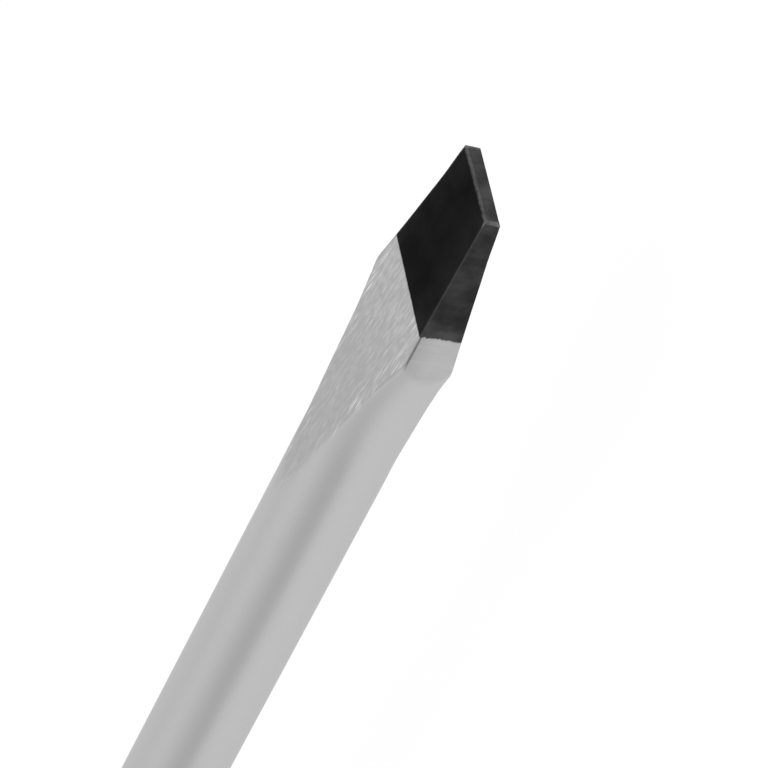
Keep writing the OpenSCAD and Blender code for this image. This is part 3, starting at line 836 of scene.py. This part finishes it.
def mouldedPlastic(name):
    k, skin = plastics[name], plasticSkin
    material, add, shader = newMaterial(name + "Polypropylene")
    coords = add("TexCoord").node.outputs["Object"]
    cloud = add("TexNoise", (coords, 1 / (skin["cloud"] * mm), 3))
    grain = add("TexNoise", (coords, 1 / (k["grain"] * mm), 2))
    touch = add("Attribute", attribute_name="touch")
    touched = add("SeparateColor", (touch,)).node.outputs
    fresh = add("Mix", (cloud, k["deep"], k["pale"]), data_type="RGBA")
    rubbed = add("Math", (touched[0], cloud), operation="MULTIPLY")
    worn = add("Mix", (rubbed, fresh, k["worn"]), data_type="RGBA")
    grime = add("MapRange", (touched[1], 0, 1, 1, skin["grimeShade"]))
    colour = add("Mix", (1, worn, grime), data_type="RGBA", blend_type="MULTIPLY")
    broken = add("MapRange", (grain, *noiseSpan, *k["rough"]))
    rough = add("Math", (rubbed, skin["rubShine"], broken), operation="MULTIPLY_ADD")
    bump = add("Bump", {"Height": grain, "Strength": k["bump"], "Distance": skin["depth"] * mm})
    wire(shader, {
        "Base Color": colour, "Roughness": rough, "Normal": bump,
        "IOR": skin["ior"], "Specular IOR Level": skin["gloss"]})
    return material


# Thermoplastic rubber, moulded against a blasted tool: near black, dull, with a sandy skin whose
# grain of about a tenth of a millimetre is drawn coarser to show

rubberLook = {
    "deep": "#131313", "pale": "#1e1e1f", "bloom": 6.0, "rough": (0.62, 0.78), "gloss": 0.3,
    "sand": 0.22, "sandDepth": 0.06, "bump": 0.5,
}


def gripRubber():
    k = rubberLook
    material, add, shader = newMaterial("blackGripRubber")
    coords = add("TexCoord").node.outputs["Object"]
    sand = add("TexNoise", (coords, 1 / (k["sand"] * mm), 3))
    bloom = add("TexNoise", (coords, 1 / (k["bloom"] * mm), 4))
    colour = add("Mix", (bloom, k["deep"], k["pale"]), data_type="RGBA")
    rough = add("MapRange", (sand, *noiseSpan, *k["rough"]))
    bump = add("Bump", {"Height": sand, "Strength": k["bump"], "Distance": k["sandDepth"] * mm})
    wire(shader, {
        "Base Color": colour, "Roughness": rough, "Normal": bump, "Specular IOR Level": k["gloss"]})
    return material


# Steel turned or drawn round the axis: fine rings along X, finer than a hair on the real part and
# drawn coarser to show, under a faint stain

metals = {
    "nickelledFerrule": {"deep": "#a39f96", "pale": "#c4c0b7", "rough": (0.2, 0.32), "ring": 0.16},
    "sinteredBush": {"deep": "#4d4c4a", "pale": "#6a6866", "rough": (0.42, 0.6), "ring": 0.3},
    "bluedSpring": {"deep": "#2e3138", "pale": "#464b55", "rough": (0.25, 0.35), "ring": 0.4},
    "drawnCup": {"deep": "#8b8a86", "pale": "#a3a29d", "rough": (0.28, 0.4), "ring": 0.2},
}
metalSkin = {"ringAcross": 25.0, "stain": 5.0, "spread": (0.12, 0.4), "depth": 0.02, "bump": 0.15}


def turnedSteel(name):
    k, skin = metals[name], metalSkin
    material, add, shader = newMaterial(name + "Steel")
    coords = add("TexCoord").node.outputs["Object"]
    rings = cellNoise(add, coords, (k["ring"] * mm, skin["ringAcross"] * mm, skin["ringAcross"] * mm), 2)
    stain = add("TexNoise", (coords, 1 / (skin["stain"] * mm), 3))
    stained = add("Math", (rings, stain), operation="MULTIPLY")
    share = add("MapRange", (stained, *skin["spread"]))
    colour = add("Mix", (share, k["deep"], k["pale"]), data_type="RGBA")
    rough = add("MapRange", (rings, *noiseSpan, *k["rough"]))
    bump = add("Bump", {"Height": rings, "Strength": skin["bump"], "Distance": skin["depth"] * mm})
    wire(shader, {"Base Color": colour, "Roughness": rough, "Normal": bump, "Metallic": 1})
    return material


def finishNode(node, material):  # a CAD node that stays gets this finish
    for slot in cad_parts[node].material_slots:
        slot.material = material


rubber = gripRubber()
graphite = mouldedPlastic("graphiteCap")
makeBody(mouldedPlastic("blueBody"))
makeThumbRing(rubber)
for number in range(1, 7):
    makePad(number, rubber)
makeFerrule(turnedSteel("nickelledFerrule"))
makeCap(graphite)
finishNode("end_disc", mouldedPlastic("paleDisc"))
finishNode("handle_core", graphite)
finishNode("drive_bush", turnedSteel("sinteredBush"))
finishNode("detent_spring", turnedSteel("bluedSpring"))
finishNode("spring_cup", turnedSteel("drawnCup"))
print("handle pieces and finishes done")

# Stage, in metres: a pale floor that stays white to the eye and still takes a soft shadow

stage = {"size": 8.0, "drop": 0.0002, "albedo": "#e6e6e6", "white": 1.085, "whiteShare": 0.76}


def makeFloor():
    half, low = stage["size"] / 2, -stage["drop"]
    corners = [(-half, -half, low), (half, -half, low), (half, half, low), (-half, half, low)]
    mesh = bpy.data.meshes.new("floor")
    mesh.from_pydata(corners, [], [(0, 1, 2, 3)])
    floor = addObject("floor", mesh)
    material, add = newMaterial("palePaper")[:2]
    material.node_tree.nodes.clear()
    # the eye, mirrors and glass see mostly white, and all other light meets pale paper
    path = add("LightPath").node.outputs
    seen = add("Math", (path["Is Camera Ray"], path["Is Glossy Ray"]), operation="MAXIMUM")
    seenAll = add("Math", (seen, path["Is Transmission Ray"]), operation="MAXIMUM")
    share = add("Math", (seenAll, stage["whiteShare"]), operation="MULTIPLY")
    paper = add("BsdfDiffuse", (stage["albedo"],))
    white = add("Emission", ("#ffffff", stage["white"]))
    add("OutputMaterial", (add("MixShader", (share, paper, white)),))
    mesh.materials.append(material)


# Light: an even white tent, dimmer low in front of the handle and high behind it. Each dim patch has
# the direction of its middle, the cosine where it starts, and its depth.

tent = {
    "bright": 0.93,
    "dims": (((-0.303, -0.937, 0.175), 0.54, 0.29), ((-0.514, 0.287, 0.808), 0.943, 0.11)),
}


def makeTent():
    world = bpy.data.worlds.new("whiteTent")
    bpy.context.scene.world = world
    world.use_nodes = True
    world.node_tree.nodes.clear()
    add = partial(addNode, world.node_tree)
    sky = add("TexCoord").node.outputs["Generated"]
    level = tent["bright"]
    for side, start, depth in tent["dims"]:
        facing = add("VectorMath", (sky, Vector(side).normalized()), operation="DOT_PRODUCT")
        dip = add("MapRange", (facing, start, 1, 0, depth), interpolation_type="SMOOTHSTEP")
        level = add("Math", (level, dip), operation="SUBTRACT")
    add("OutputWorld", (add("Background", ("#ffffff", level)),))


# one broad lamp over the tip end shapes the handle; its place is in metres
lamp = {"place": (0.5, -0.35, 0.85), "size": 1.7, "power": 4.4}


def makeLamp():
    data = bpy.data.lights.new("broadLamp", "AREA")
    data.size, data.energy = lamp["size"], lamp["power"]
    light = addObject("broadLamp", data)
    spot = Vector(lamp["place"])
    light.matrix_world = Matrix.Translation(spot) @ spot.to_track_quat("Z", "Y").to_matrix().to_4x4()


# Camera: a long lens near the tip, rolled so that the blade rises to the right. Its place is in mm
# from the middle of the tip, and its clip range in metres.

lens = {
    "fromTip": (200.29, -220.34, 128.19), "ahead": (-0.6478, 0.6581, -0.3838),
    "up": (0.6732, 0.7303, 0.1160), "focal": 269.6, "sensor": 36, "clip": (0.01, 50),
}


def makeCamera():
    data = bpy.data.cameras.new("camera")
    data.lens, data.sensor_width = lens["focal"], lens["sensor"]
    data.clip_start, data.clip_end = lens["clip"]
    camera = addObject("camera", data)
    ahead = Vector(lens["ahead"]).normalized()
    right = ahead.cross(Vector(lens["up"])).normalized()
    turn = Matrix((right, right.cross(ahead), -ahead)).transposed().to_4x4()
    spot = Vector((tipX, 0, axisZ)) + Vector(lens["fromTip"])
    camera.matrix_world = Matrix.Translation(spot * mm) @ turn
    bpy.context.scene.camera = camera


makeFloor()
makeTent()
makeLamp()
makeCamera()
bpy.context.scene.view_settings.view_transform = "Standard"
print("stage, light and camera set")
